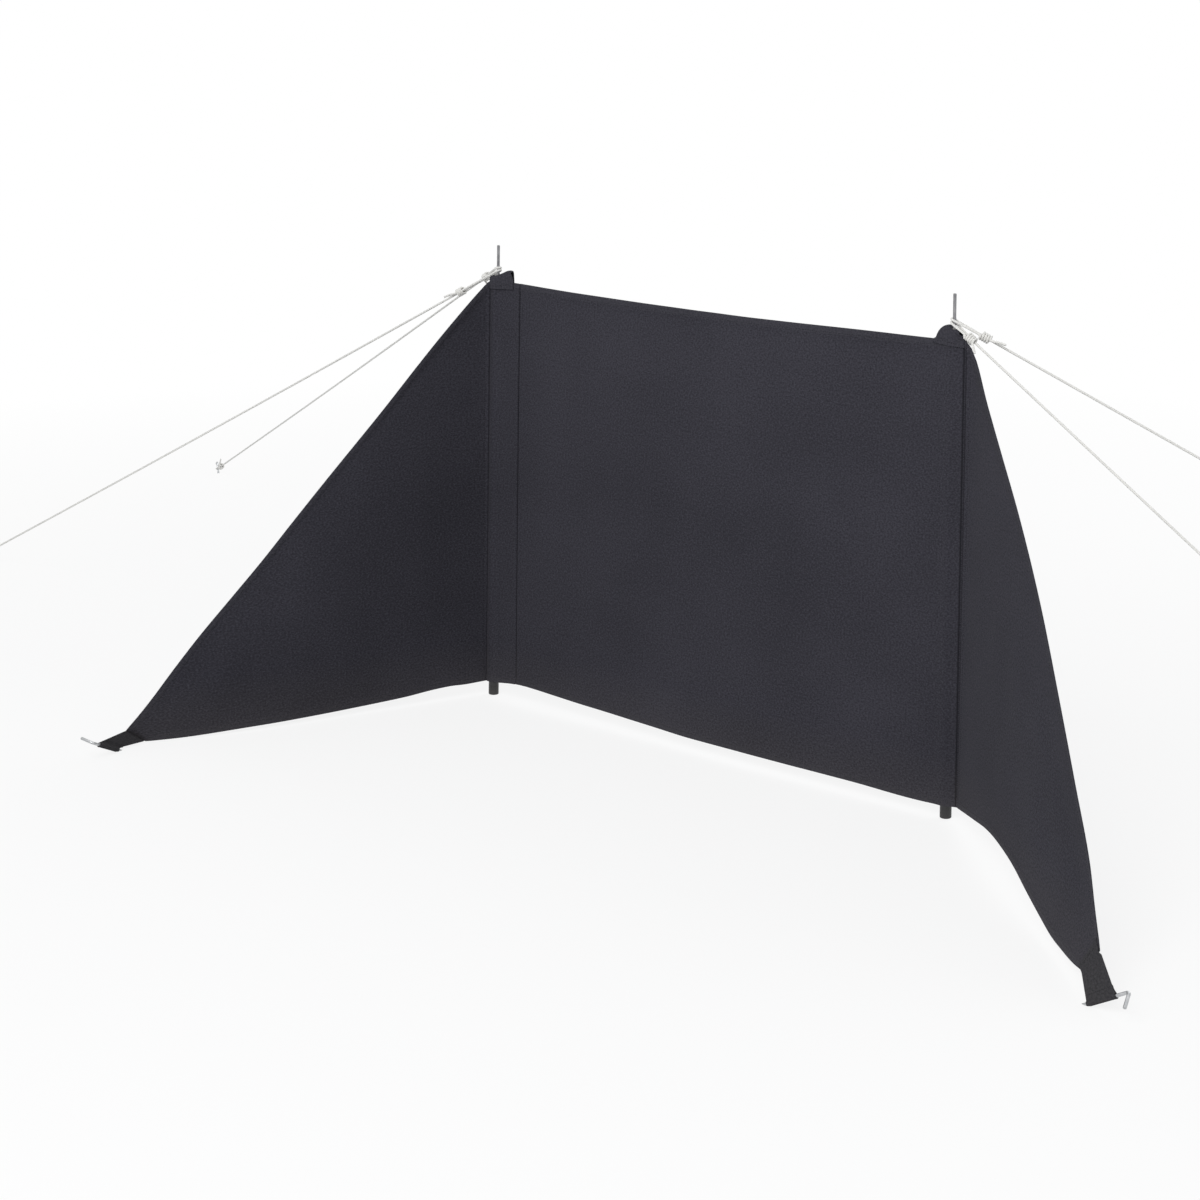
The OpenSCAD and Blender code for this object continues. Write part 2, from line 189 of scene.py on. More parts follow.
# ---------------------------------------------------------------- poles
# A pole is one length of 22 mm steel tube, painted black. It stands inside the cloth pocket
# and leans a little over the panel, pulled there by the cloth and held back by two ropes.
pole_paint = moulded("black_pole_paint", (0.016, 0.016, 0.018, 1), (0.06, 0.06, 0.06, 1), 0.38)
for name in ("left_pole", "right_pole"):
    finish_node(name, pole_paint)


# ---------------------------------------------------------------- spikes
# A drawn steel spike stands on the round plug that closes the top of each pole. The cap and
# the rope loops are dropped over it.
def steel(name, colour, dark, rough, streak):
    """Bare metal with darker clouds; streak stretches its fine lines along an axis."""
    material, tree, shader = new_material(name)
    where = node(tree, "ShaderNodeTexCoord").outputs["Object"]
    along = node(tree, "ShaderNodeMapping", {0: where, 3: streak}).outputs[0]
    lines = noise_of(tree, along, 300.0, 3.0)
    cloud = noise_of(tree, where, 90.0, 5.0)
    spots = remap(tree, cloud, (0.35, 0.7), (0.0, 0.8))
    tree.links.new(mix_colour(tree, spots, colour, dark), shader.inputs["Base Color"])
    shader.inputs["Metallic"].default_value = 1.0
    dull = remap(tree, lines, (0.0, 1.0), (rough - 0.1, rough + 0.14))
    tree.links.new(dull, shader.inputs["Roughness"])
    tree.links.new(bump_of(tree, lines, 0.15, 0.0002), shader.inputs["Normal"])
    return material


spike_steel = steel("drawn_steel", (0.30, 0.30, 0.31, 1), (0.16, 0.16, 0.17, 1), 0.38, (1, 1, 0.05))
for name in ("left_spike", "right_spike"):
    finish_node(name, spike_steel)


# ---------------------------------------------------------------- front cloth
# The panel and the fronts of both pole pockets are one piece of charcoal canvas, stretched
# between the poles. Its upper and lower edges are turned over twice and stitched down.
def sum_of(tree, *parts):
    """The sum of some outputs, each given with its share."""
    total = None
    for value, share in parts:
        term = math_node(tree, "MULTIPLY", value, share)
        total = term if total is None else math_node(tree, "ADD", total, term)
    return total


def charcoal_canvas(name, dark, light):
    """Plain weave on the cloth's own flat sizes, with slubs, rubbed hems, dust low down and painted shade
    down in the folds of seams.
    """
    thread = 0.0011
    one_a_metre = 0.3142  # a wave texture of this scale repeats once a metre
    rubbed_grey, painted_seam_shade = (0.070, 0.069, 0.078, 1), (0.004, 0.004, 0.005, 1)
    dust = (0.13, 0.115, 0.10, 1)
    material, tree, shader = new_material(name)
    where = node(tree, "ShaderNodeTexCoord")
    flat, place = where.outputs["UV"], where.outputs["Object"]
    wave = {0: flat, 1: one_a_metre / thread}
    warp = node(tree, "ShaderNodeTexWave", wave, bands_direction="X").outputs[1]
    weft = node(tree, "ShaderNodeTexWave", wave, bands_direction="Y").outputs[1]
    over = node(tree, "ShaderNodeTexChecker", {0: flat, 3: 1 / thread}).outputs[1]
    weave = node(tree, "ShaderNodeMix", {0: over, 2: warp, 3: weft}).outputs[0]
    slubs = node(tree, "ShaderNodeMapping", {0: flat, 3: (0.45, 1.0, 1.0)}).outputs[0]
    fleck = noise_of(tree, slubs, 520.0, 3.0)
    patch = noise_of(tree, place, 3.2, 3.0)
    mottle = noise_of(tree, flat, 240.0, 4.0)
    tone = sum_of(tree, (fleck, 0.45), (mottle, 0.45), (patch, 0.2), (weave, 0.2))
    colour = mix_colour(tree, remap(tree, tone, (0.53, 0.8), (0.0, 1.0)), dark, light)
    edge = node(tree, "ShaderNodeAttribute", attribute_name="turned").outputs[2]
    folded = remap(tree, edge, (0.0, 1.0), (0.0, 0.35))
    rubbed = math_node(tree, "MULTIPLY", folded, mottle)
    colour = mix_colour(tree, rubbed, colour, rubbed_grey)
    # Where turned is -1, down in a seam fold, the colour is pulled towards near black: painted shade in
    # the crease, not a colour of the cloth.
    seam = remap(tree, edge, (-1.0, 0.0), (0.75, 0.0))
    colour = mix_colour(tree, seam, colour, painted_seam_shade)
    height = node(tree, "ShaderNodeSeparateXYZ", {0: place}).outputs[2]
    near = remap(tree, height, (0.01, 0.13), (0.22, 0.0))
    dusty = math_node(tree, "MULTIPLY", near, mottle)
    tree.links.new(mix_colour(tree, dusty, colour, dust), shader.inputs["Base Color"])
    shader.inputs["Roughness"].default_value = 0.88
    shader.inputs["Specular IOR Level"].default_value = 0.04
    shader.inputs["Sheen Weight"].default_value = 0.03
    shader.inputs["Sheen Roughness"].default_value = 0.5
    soft = bump_of(tree, noise_of(tree, place, 26.0, 3.0), 0.25, 0.004)
    fine = bump_of(tree, weave, 0.4, 0.0004, Normal=soft)
    tree.links.new(fine, shader.inputs["Normal"])
    return material


def mix(a, b, t):
    return a + (b - a) * t


def hump(away, width):
    """1 at its middle, falling off smoothly to nothing at about twice its width."""
    return math.exp(-((away / width) ** 2))


def follow(stops, x):
    """Height of a gentle curve through the stops, which are pairs of place and height."""
    if x <= stops[0][0]:
        return stops[0][1]
    last = len(stops) - 1
    for k in range(last):
        (x0, y0), (x1, y1) = stops[k], stops[k + 1]
        if x <= x1:
            before, after = stops[max(k - 1, 0)], stops[min(k + 2, last)]
            size, t = x1 - x0, (x - x0) / (x1 - x0)
            start = (y1 - before[1]) / (x1 - before[0]) * size
            end = (after[1] - y0) / (after[0] - x0) * size
            bend = (t - 2 * t * t + t ** 3) * start + (t ** 3 - t * t) * end
            return mix(y0, y1, t * t * (3 - 2 * t)) + bend
    return stops[last][1]


def turned_edge(size, hem, count):
    """Distances across a cloth with close rows along the two turned edges."""
    lower = [0, hem - 3, hem - 1, hem + 0.6]
    inner = [mix(hem, size - hem, i / count) for i in range(1, count)]
    upper = [size - hem - 0.6, size - hem + 1, size - hem + 3, size]
    return lower + inner + upper


def hem_of(place, size, hem, seam=False):
    """1 on a turned edge, 0 on the single cloth and -1 down in the fold of a seam, where the canvas
    paints shade.
    """
    if seam:
        return -1.0
    return 1.0 if min(place, size - place) < hem - 0.5 else 0.0


def face_outwards(piece):
    bpy.ops.object.select_all(action="DESELECT")
    bpy.context.view_layer.objects.active = piece
    piece.select_set(True)
    bpy.ops.object.mode_set(mode="EDIT")
    bpy.ops.mesh.select_all(action="SELECT")
    bpy.ops.mesh.normals_make_consistent(inside=False)
    bpy.ops.object.mode_set(mode="OBJECT")


def cloth_piece(name, columns, thin, thick):
    """A cloth from columns of (point, across, up, turned), all in mm but the last.

    thin is its thickness where turned is 0 or less, and thick where it is 1.
    """
    across, up = len(columns) - 1, len(columns[0]) - 1
    bpy.ops.object.select_all(action="DESELECT")
    bpy.ops.mesh.primitive_grid_add(x_subdivisions=across, y_subdivisions=up, size=1)
    piece = bpy.context.object
    piece.name = name
    mesh = piece.data
    assert len(mesh.vertices) == (across + 1) * (up + 1)
    group = piece.vertex_groups.new(name="hem")
    spots = [columns[k % (across + 1)][k // (across + 1)] for k in range(len(mesh.vertices))]
    for vertex, (point, _, _, turned) in zip(mesh.vertices, spots):
        vertex.co = Vector(point) * 0.001
        group.add([vertex.index], max(turned, thin / thick), "REPLACE")
    layer = mesh.uv_layers.active
    for loop in mesh.loops:
        _, across_cloth, up_cloth, _ = spots[loop.vertex_index]
        layer.data[loop.index].uv = (across_cloth * 0.001, up_cloth * 0.001)
    mark = mesh.attributes.new("turned", "FLOAT", "POINT")
    for index, (_, _, _, turned) in enumerate(spots):
        mark.data[index].value = turned
    mesh.update()
    layers = piece.modifiers.new("layers", "SOLIDIFY")
    layers.thickness = thick * 0.001
    layers.offset = 0
    layers.vertex_group = "hem"
    bpy.ops.object.modifier_apply(modifier="layers")
    face_outwards(piece)
    bpy.ops.object.shade_smooth_by_angle(angle=math.radians(50))
    return piece


def stitching(name, lines, lift):
    """Rows of thread on both faces of a cloth; a line is a list of (point, normal) in mm."""
    pitch, length, half, sunk = 4.2, 3.3, 0.42, 0.5
    first_at = 1.0
    verts, faces = [], []
    for line in lines:
        left_over = first_at
        for (a, na), (b, nb) in zip(line, line[1:]):
            step = b - a
            run = step.length
            if run < 1e-6:
                continue
            way = step / run
            at = left_over
            while at < run:
                normal = na.lerp(nb, at / run).normalized()
                side = way.cross(normal).normalized()
                for face in (1, -1):
                    mid = a + way * at + normal * face * lift
                    base = len(verts)
                    verts += [
                        mid - way * length / 2 - normal * face * sunk,
                        mid + side * half,
                        mid + normal * face * half,
                        mid - side * half,
                        mid - normal * face * half,
                        mid + way * length / 2 - normal * face * sunk,
                    ]
                    for i in range(4):
                        faces.append((base, base + 1 + i, base + 1 + (i + 1) % 4))
                        faces.append((base + 5, base + 1 + (i + 1) % 4, base + 1 + i))
                at += pitch
            left_over = at - run
    mesh = bpy.data.meshes.new(name)
    mesh.from_pydata([v * 0.001 for v in verts], [], faces)
    piece = bpy.data.objects.new(name, mesh)
    scene.collection.objects.link(piece)
    face_outwards(piece)
    return piece


def line_through(columns, cells):
    """The points and normals of a cloth at some cells, each a pair of column and row."""
    line = []
    for i, row in cells:
        before, after = columns[max(i - 1, 0)], columns[min(i + 1, len(columns) - 1)]
        low, high = columns[i][max(row - 1, 0)], columns[i][min(row + 1, len(columns[i]) - 1)]
        along = Vector(after[row][0]) - Vector(before[row][0])
        upward = Vector(high[0]) - Vector(low[0])
        line.append((Vector(columns[i][row][0]), along.cross(upward).normalized()))
    return line


def row_line(columns, row):
    return line_through(columns, [(i, row) for i in range(len(columns))])


def column_line(columns, index):
    return line_through(columns, [(index, row) for row in range(len(columns[index]))])


def hem_lines(columns):
    """The two rows of stitching that hold down the turned edges of a cloth."""
    return [row_line(columns, 1), row_line(columns, len(columns[0]) - 2)]


def dress(piece, material):
    piece.data.materials.clear()
    piece.data.materials.append(material)
    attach(piece, "root")


pole_gap = 1194.0
lean = math.tan(math.radians(1.43))
hem = 14.0
past_left, past_right = 12, 33
front_width = pole_gap + past_left + past_right
front_low = (
    (-12, 30), (20, 31.5), (50, 35.5), (90, 39.5), (130, 39.5), (200, 37), (280, 34), (420, 29.5),
    (560, 25.5), (700, 26), (850, 25.5), (1000, 25), (1110, 22.5), (1170, 24), (1230, 29),
)
front_high = (
    (-12, 905), (30, 906), (85, 905.5), (157, 903), (240, 900.5), (330, 899), (470, 897),
    (620, 895), (720, 894), (870, 895), (1000, 896), (1150, 896.5), (1210, 898),
)


def front_point(x0, t):
    """A point of the front cloth, x0 from the left pole along the ground and t up its height."""
    z = mix(follow(front_low, x0), follow(front_high, x0), t)
    share = (x0 + past_left) / front_width
    x = mix(z * lean - past_left, pole_gap - z * lean + past_right, share)
    left, right = x - z * lean, pole_gap - z * lean - x
    over_poles = 4.1 * hump(left, 11.0) + 3.7 * hump(right, 14.0)
    seam_fold = 0.9 * hump(left - 76, 2.0) - 0.7 * hump(left - 71, 3.0)
    free = max(0.0, math.sin(math.pi * min(1, max(0, (x - 60) / 1060))))
    belly = 15 * free ** 0.8 * math.sin(math.pi * (0.12 + 0.8 * t))
    waves = 5.0 * noise.noise(Vector((x * 0.0031 + 4.2, z * 0.0022, 0.7)))
    ripples = 1.6 * noise.noise(Vector((x * 0.011, z * 0.005, 3.1)))
    return (x, -8.4 - over_poles + seam_fold - belly + free * (waves + ripples), z)


left_sewn, left_fold = (74, 78), (76, 77)
right_sewn, right_fold = (1222, 1225), (1222,)
at_left = (*range(-12, 19, 3), 22, 27, 34, 42, 50, 58, 64, 68, 70, 72, 74, 75, 76, 77, 78, 80, 84)
at_right = (1140, 1150, 1158, 1165, 1171, 1175, 1179, *range(1182, 1207, 3))
past_right_pole = (1210, 1214, 1218, 1222, 1225, 1227)
places = [*at_left, *range(90, 1131, 20), *at_right, *past_right_pole]
columns = []
for x0 in places:
    size = follow(front_high, x0) - follow(front_low, x0)
    # Columns in the folds of the pocket seams are marked -1, so the canvas paints a dark shade line down
    # them.
    seam = x0 in left_fold + right_fold
    column = []
    for up in turned_edge(size, hem, 44):
        column.append((front_point(x0, up / size), x0, up, hem_of(up, size, hem, seam)))
    columns.append(column)
canvas = charcoal_canvas("charcoal_canvas", (0.0245, 0.0239, 0.0302, 1), (0.0605, 0.0584, 0.0730, 1))
# The thread is near black so that its rows also read as the shade line along the seams: partly the
# thread's own dark colour, partly painted shade.
thread = charcoal_canvas("sewing_thread_and_seam_shade", (0.004, 0.004, 0.005, 1), (0.013, 0.013, 0.016, 1))
front_cloth = cloth_piece("front_cloth", columns, 0.9, 2.4)
dress(front_cloth, canvas)
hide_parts("centre_panel")
hem_lift, seam_lift = 1.3, 0.55
front_threads = [stitching("front_cloth_stitching", hem_lines(columns), hem_lift)]
for label, sewn in (("left", left_sewn), ("right", right_sewn)):
    lines = [column_line(columns, places.index(x0)) for x0 in sewn]
    front_threads.append(stitching(label + "_pocket_stitching", lines, seam_lift))
for piece in front_threads:
    dress(piece, thread)


# ---------------------------------------------------------------- pole pockets
# Behind each pole a strip of the same canvas is sewn to the back of the front cloth along
# both its edges, and the pole is pushed up into the pocket from below.
def pocket_columns(side, out, inside, high):
    """side is -1 for the left pole and 1 for the right; out and inside are its two seams."""
    axis = 0.0 if side < 0 else pole_gap
    first, sweep = (200, 220) if side < 0 else (205, 230)
    round_pole = 13.1
    turns = [(out, -7.2), (out - 1.5, -6.4)]
    for step in range(13):
        a = math.radians(first - step * sweep / 12)
        turns.append((-round_pole * math.cos(a), round_pole * math.sin(a)))
    turns += [(-inside * 0.5, mix(turns[-1][1], -6.4, 0.55)), (-inside + 3, -6.6), (-inside, -7.2)]
    result = []
    length = 0.0
    last = None
    for across, y in turns:
        if last:
            length += math.hypot(across - last[0], y - last[1])
        last = (across, y)
        column = []
        low = follow(front_low, axis + side * across) + 1.2
        for up in turned_edge(high - low, hem, 30):
            z = low + up
            x = axis + side * (across - z * lean)
            column.append(((x, y, z), length, up, hem_of(up, high - low, hem)))
        result.append(column)
    return result


for side, label, out, inside, high in ((-1, "left", 12, 74, 904), (1, "right", 31, 44, 896)):
    columns = pocket_columns(side, out, inside, high)
    pocket = cloth_piece(label + "_pole_pocket", columns, 0.9, 2.2)
    dress(pocket, canvas)
    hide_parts(label + "_sleeve")
    pocket_thread = stitching(label + "_pole_pocket_stitching", hem_lines(columns), 1.2)
    dress(pocket_thread, thread)


# ---------------------------------------------------------------- wings
# A wing is a tall triangle of canvas sewn on in front of the pole and pulled out to a peg.
# Its slanting upper edge and its lower edge are turned and stitched like the panel's.
wing_run, tip_width = 770, 52


def heading(turn, rise=0.0):
    """A way, turned by degrees from +X towards +Y and raised by degrees."""
    a, b = math.radians(turn), math.radians(rise)
    return Vector((math.cos(b) * math.cos(a), math.cos(b) * math.sin(a), math.sin(b)))


class WingShape:
    """One wing in the frame of its own pole: +X outwards, -Y to the fire, in mm.

    seam places its sewn side; turn is its heading from the panel, and lift its tip's height.
    The tip is a short edge that leans by end_turn and end_rise. top and low say how the
    upper and lower edge bow sideways, and how they rise over a straight line.
    """

    def __init__(self, seam, turn, lift, end_turn, end_rise, top_z, hem_z, top, low):
        self.out, self.back, self.shift = seam
        self.side = heading(90 - turn)
        self.low = Vector((self.out, -13, lift)) + wing_run * heading(-turn)
        self.high = self.low + tip_width * heading(-end_turn, end_rise)
        self.top_z, self.hem_z, self.top, self.lower = top_z, hem_z, top, low

    def start(self, z):
        return Vector((self.out - z * lean + self.shift, self.back, z))

    def hem(self, u):
        bow, skew, rises = self.lower
        p = self.start(self.hem_z).lerp(self.low, u) + self.side * bow * math.sin(math.pi * u ** skew)
        p.z += follow(rises, u)
        return p

    def edge(self, u):
        bow, skew, bulges, lifts = self.top
        sideways = bow * math.sin(math.pi * u ** skew) + follow(bulges, u)
        p = self.start(self.top_z).lerp(self.high, u) + self.side * sideways
        p.z += follow(lifts, u)
        return p


left_rises = (
    (0, 0), (0.07, -0.3), (0.11, 1.8), (0.17, 1), (0.26, -3), (0.44, -4), (0.62, -3.2),
    (0.75, -2.2), (0.9, -2.6), (1, -0.5),
)
right_rises = (
    (0, 0), (0.07, 8.4), (0.16, 19), (0.26, 30), (0.35, 33), (0.48, 27.5), (0.6, 12),
    (0.72, -2), (0.79, -8.5), (0.86, -8.5), (0.94, -6), (1, 0),
)
left_bulges = ((0, 0), (1, 0))
left_lifts = (
    (0, 0), (0.08, 3), (0.14, 4.2), (0.2, 3.6), (0.3, 1), (0.45, 2.5), (0.55, 2), (0.63, 0.5),
    (0.71, 3), (0.8, 6), (0.87, 3.5), (0.93, -1.5), (0.97, -2), (1, 0),
)
right_bulges = (
    (0, 0), (0.01, 4), (0.03, 5.5), (0.055, 4.5), (0.08, 2.3), (0.115, 0), (0.2, -1.3),
    (0.3, -0.5), (0.45, -0.6), (0.6, -1.8), (0.74, 0), (0.86, 3.8), (0.94, 1), (1, 0),
)
right_lifts = ((0, 0), (0.15, -5.4), (0.3, -9.7), (0.5, -12), (0.7, -9.7), (0.85, -5.4), (1, 0))
left_wing_shape = WingShape(
    seam=(12, -8.6, 1.2), turn=70.5, lift=4, end_turn=80, end_rise=35, top_z=905, hem_z=30,
    top=(11, 0.33, left_bulges, left_lifts), low=(-23, 1.8, left_rises),
)
right_wing_shape = WingShape(
    seam=(33, -10.6, 0.5), turn=41, lift=28, end_turn=2.3, end_rise=53, top_z=897, hem_z=29,
    top=(31, 0.9, right_bulges, right_lifts), low=(0, 1, right_rises),
)


def to_part(side, p):
    """From a pole's own frame to the frame of the whole screen."""
    return Vector((-p[0], p[1], p[2])) if side < 0 else Vector((pole_gap + p[0], p[1], p[2]))


def wing_columns(side, shape, belly):
    result = []
    shares = [0, 0.004, 0.012] + [0.02 + 0.98 * i / 62 for i in range(1, 63)]
    for u in shares:
        low, high = shape.hem(u), shape.edge(u)
        size = (high - low).length
        # The first and last columns are marked -1, so the canvas paints shade there: a dark line down the
        # sewn side and along the tip's edge where it lies over the strap.
        seam = u in (shares[0], shares[-1])
        turned = min(hem, size * 0.24)
        column = []
        for up in turned_edge(size, turned, 40):
            t = up / size
            p = low.lerp(high, t)
            slack = min(1, u / 0.2) * min(1, (1 - u) / 0.25) * math.sin(math.pi * t)
            ripple = noise.noise(Vector((u * 2.6 + side, t * 1.7, 1.3))) * 9
            ripple += noise.noise(Vector((u * 9.0, t * 4.0, 5.3 + side))) * 2.2
            p = p + shape.side * slack * (belly + ripple)
            column.append((to_part(side, p), u * wing_run, up, hem_of(up, size, turned, seam)))
        result.append(column)
    return result


for side, label, shape, belly, area in (
    (-1, "left", left_wing_shape, -6, 0.37),
    (1, "right", right_wing_shape, 5, 0.36),
):
    columns = wing_columns(side, shape, belly)
    wing = cloth_piece(label + "_wing_cloth", columns, 0.9, 2.4)
    dress(wing, canvas)
    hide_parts(label + "_wing")
    wing_thread = stitching(label + "_wing_stitching", hem_lines(columns), hem_lift)
    dress(wing_thread, thread)
    seam_thread = stitching(label + "_wing_seam_stitching", [column_line(columns, 2)], seam_lift)
    dress(seam_thread, thread)


# ---------------------------------------------------------------- straps
# A wide woven strap is sewn over the tip of each wing. Its far end is folded back round the
# shaft of the peg and stitched down, which leaves a loop for the peg.
def strap_columns(side, shape, strap_len, strap_turn, peg_turn, peg_rise):
    axis = heading(-peg_turn, peg_rise)
    loop = shape.low + strap_len * heading(-strap_turn)
    loop.z = 5.2
    way = (loop - shape.low).normalized()
    across = (way - axis * way.dot(axis)).normalized()
    normal = across.cross(axis)
    if normal.z < 0:
        normal = -normal
    face = shape.side if shape.side.dot(normal) >= 0 else -shape.side
    r, past = 4.3, 5.0
    width = tip_width + past

    def round_peg(angle):
        a = math.radians(angle)
        return loop - axis * past + across * r * math.cos(a) + normal * r * math.sin(a)

    on_wing, free = face * 2.2, Vector((0, 0, 0))
    stops = []
    for back in (16, 8, 0):
        low, high = shape.hem(1 - back / wing_run), shape.edge(1 - back / wing_run)
        stops.append((low.lerp(high, 0.03), high.lerp(low, 0.03), on_wing))
    over, under = round_peg(120), round_peg(-120)
    for i in range(1, 13):
        t = i / 12
        stops.append((shape.low.lerp(over, t), shape.high.lerp(over + width * axis, t), free))
    for i in range(1, 16):
        p = round_peg(120 - i * 240 / 15)
        stops.append((p, p + width * axis, free))
    for i in range(1, 7):
        t = i * 0.035
        below = (under - over) * max(0.24, 1 - 0.26 * i)
        low, high = over.lerp(shape.low, t), (over + width * axis).lerp(shape.high, t)
        stops.append((low + below, high + below, free))
    result = []
    run = 0.0
    last = None
    for low, high, lift in stops:
        if last is not None:
            run += (low - last).length
        last = low.copy()
        column = []
        for j in range(13):
            t = j / 12
            p = low.lerp(high, t) + lift
            p.z = max(p.z, 0.9)
            edge = 1.0 if j in (0, 12) else 0.6
            column.append((to_part(side, p), run, t * tip_width, edge))
        result.append(column)
    return result, run


webbing = charcoal_canvas("strap_webbing", (0.0195, 0.0195, 0.0230, 1), (0.0520, 0.0515, 0.0580, 1))
for side, label, shape, strap_len, strap_turn, peg_turn, peg_rise in (
    (-1, "left", left_wing_shape, 79, 94.3, 100.2, 25.7),
    (1, "right", right_wing_shape, 74, 47, 2.3, 30),
):
    columns, run = strap_columns(side, shape, strap_len, strap_turn, peg_turn, peg_rise)
    strap = cloth_piece(label + "_tip_strap", columns, 1.0, 1.5)
    dress(strap, webbing)
    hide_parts(label + "_strap", label + "_strap_loop")
    strap_thread = stitching(
        label + "_tip_strap_stitching",
        [column_line(columns, 1), column_line(columns, 12)],
        0.8,
    )
    dress(strap_thread, thread)


# ---------------------------------------------------------------- caps
# A doubled strip of canvas goes over the top of each pole like a saddle. Both its ends are
# stitched to the pocket, and the spike comes up through an eyelet in it.
cap_width = 66


def cap_columns(side, out_x, in_x, front_edge, ridge, back_edge):
    """Columns over the pole, from the front foot of the cap to its back foot.

    out_x and in_x are its two sides, by the share of the way over. The edges and the ridge
    are heights by distance from the pole's axis, towards the panel, in mm.
    """
    wide, long = 26, 40
    pole_top = 914 * lean
    plug_top, plug_edge = 915.7, 908
    result = []
    for i in range(wide + 1):
        share = i / wide
        column = []
        run = 0.0
        last = None
        for j in range(long + 1):
            turn = math.pi * j / long
            x = mix(follow(out_x, j / long), follow(in_x, j / long), share)
            out = abs(math.cos(turn)) ** 0.55
            rise = abs(math.sin(turn)) ** 0.62
            round_end = math.sqrt(max(0.04, 1 - (x / 16) ** 2)) if x < 0 else 1.0
            if j <= long // 2:
                flat = 10.7 + 4.2 * hump(x, 13.0)
                crown = 14.2 * round_end if side > 0 and x < 0 else flat
                y = -out * mix(flat, crown, min(1, rise * 1.4))
                foot = follow(front_edge, x)
            else:
                y = out * 14.9 * round_end
                foot = follow(back_edge, x)
            z = mix(foot, follow(ridge, x), rise)
            near = math.exp(-((math.hypot(x, y) / 8) ** 4))
            z = mix(z, plug_top, near if z > plug_edge else 0.0)
            point = to_part(side, Vector((-x - pole_top, y, z)))
            if last is not None:
                run += (point - last).length
            last = point
            at_edge = j in (0, long) or i in (0, wide)
            column.append((point, share * cap_width, run, 0.7 if at_edge else 0.5))
        result.append(column)
    return result


cap_cloth = charcoal_canvas("cap_canvas", (0.0245, 0.0239, 0.0300, 1), (0.0590, 0.0570, 0.0705, 1))
left_cap = dict(
    out_x=((0, -11), (0.3, -15), (0.5, -16.5), (0.7, -16), (1, -14)),
    in_x=((0, 55), (0.15, 53), (0.5, 38.5), (0.8, 33), (1, 32)),
    front_edge=((-12, 889), (60, 892)),
    ridge=((-17, 914), (-8, 917), (6, 918.5), (16, 922), (27, 926.5), (34, 928.5), (40, 925)),
    back_edge=((-16, 884), (32, 890)),
)
right_cap = dict(
    out_x=((0, -30), (0.12, -27), (0.25, -15), (0.5, -14.5), (0.7, -14.5), (1, -14)),
    in_x=((0, 38), (0.25, 37), (0.5, 34), (0.8, 29), (1, 28)),
    front_edge=((-30, 885), (37, 889)),
    ridge=((-17, 912), (-11, 914), (0, 918), (11, 922), (21, 919), (29, 911), (34, 898)),
    back_edge=((-16, 886), (28, 888)),
)
for side, label, shape in ((-1, "left", left_cap), (1, "right", right_cap)):
    columns = cap_columns(side, **shape)
    cap = cloth_piece(label + "_pole_cap", columns, 1.4, 2.6)
    dress(cap, cap_cloth)
    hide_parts(label + "_cap")
    # The thread row along the cap's front foot is a painted shadow line under the cap's lower edge. The
    # other two rows are its hem stitching.
    edge_shade_and_hem_rows = [row_line(columns, 0), *hem_lines(columns)]
    cap_thread = stitching(label + "_pole_cap_stitching_and_edge_shade", edge_shade_and_hem_rows, 0.95)
    dress(cap_thread, thread)


# ---------------------------------------------------------------- eyelets
# A pressed metal eyelet keeps the hole in each cap from tearing on the spike.
eyelet_metal = steel("pressed_eyelet", (0.55, 0.54, 0.50, 1), (0.25, 0.24, 0.22, 1), 0.34, (1, 1, 1))
for name in ("left_eyelet", "right_eyelet"):
    finish_node(name, eyelet_metal)


# ---------------------------------------------------------------- guy ropes
# Each guy is one length of 4 mm braided cord. It is looped over the spike and tied back on
# itself with a barrel of four turns, runs down taut, and is tied the same way round a peg.
def braid(name):
    """Pale braided cord, its UVs the metres along it and the share of a turn round it."""
    lay, strands = 0.0052, 4
    clean_dark, clean_light = (0.70, 0.69, 0.66, 1), (0.86, 0.85, 0.82, 1)
    soil = (0.55, 0.52, 0.47, 1)
    material, tree, shader = new_material(name)
    flat = node(tree, "ShaderNodeTexCoord").outputs["UV"]
    parts = node(tree, "ShaderNodeSeparateXYZ", {0: flat})
    along = math_node(tree, "MULTIPLY", parts.outputs[0], 2 * math.pi / lay)
    round_it = math_node(tree, "MULTIPLY", parts.outputs[1], 2 * math.pi * strands)
    one = math_node(tree, "SINE", math_node(tree, "ADD", along, round_it))
    two = math_node(tree, "SINE", math_node(tree, "SUBTRACT", along, round_it))
    plait = math_node(tree, "MAXIMUM", one, two)
    plait = remap(tree, plait, (-1.0, 1.0), (0.0, 1.0))
    fuzz = noise_of(tree, flat, 900.0, 3.0)
    grime = noise_of(tree, flat, 14.0, 4.0)
    colour = mix_colour(tree, sum_of(tree, (plait, 0.7), (fuzz, 0.3)), clean_dark, clean_light)
    soiled = remap(tree, grime, (0.45, 0.8), (0.0, 0.2))
    tree.links.new(mix_colour(tree, soiled, colour, soil), shader.inputs["Base Color"])
    shader.inputs["Roughness"].default_value = 0.8
    shader.inputs["Sheen Weight"].default_value = 0.2
    tree.links.new(bump_of(tree, plait, 0.22, 0.0006), shader.inputs["Normal"])
    return material


def spaced(points, step):
    """The same line with its points an even step apart."""
    result = [points[0]]
    left_over = step
    for a, b in zip(points, points[1:]):
        run = (b - a).length
        at = left_over
        while at < run:
            result.append(a.lerp(b, at / run))
            at += step
        left_over = at - run
    result.append(points[-1])
    return result


def eased(points, times):
    """The same line with its corners rounded, a little more each time."""
    for _ in range(times):
        points = (
            [points[0]]
            + [(a + 2 * b + c) / 4 for a, b, c in zip(points, points[1:], points[2:])]
            + [points[-1]]
        )
    return points


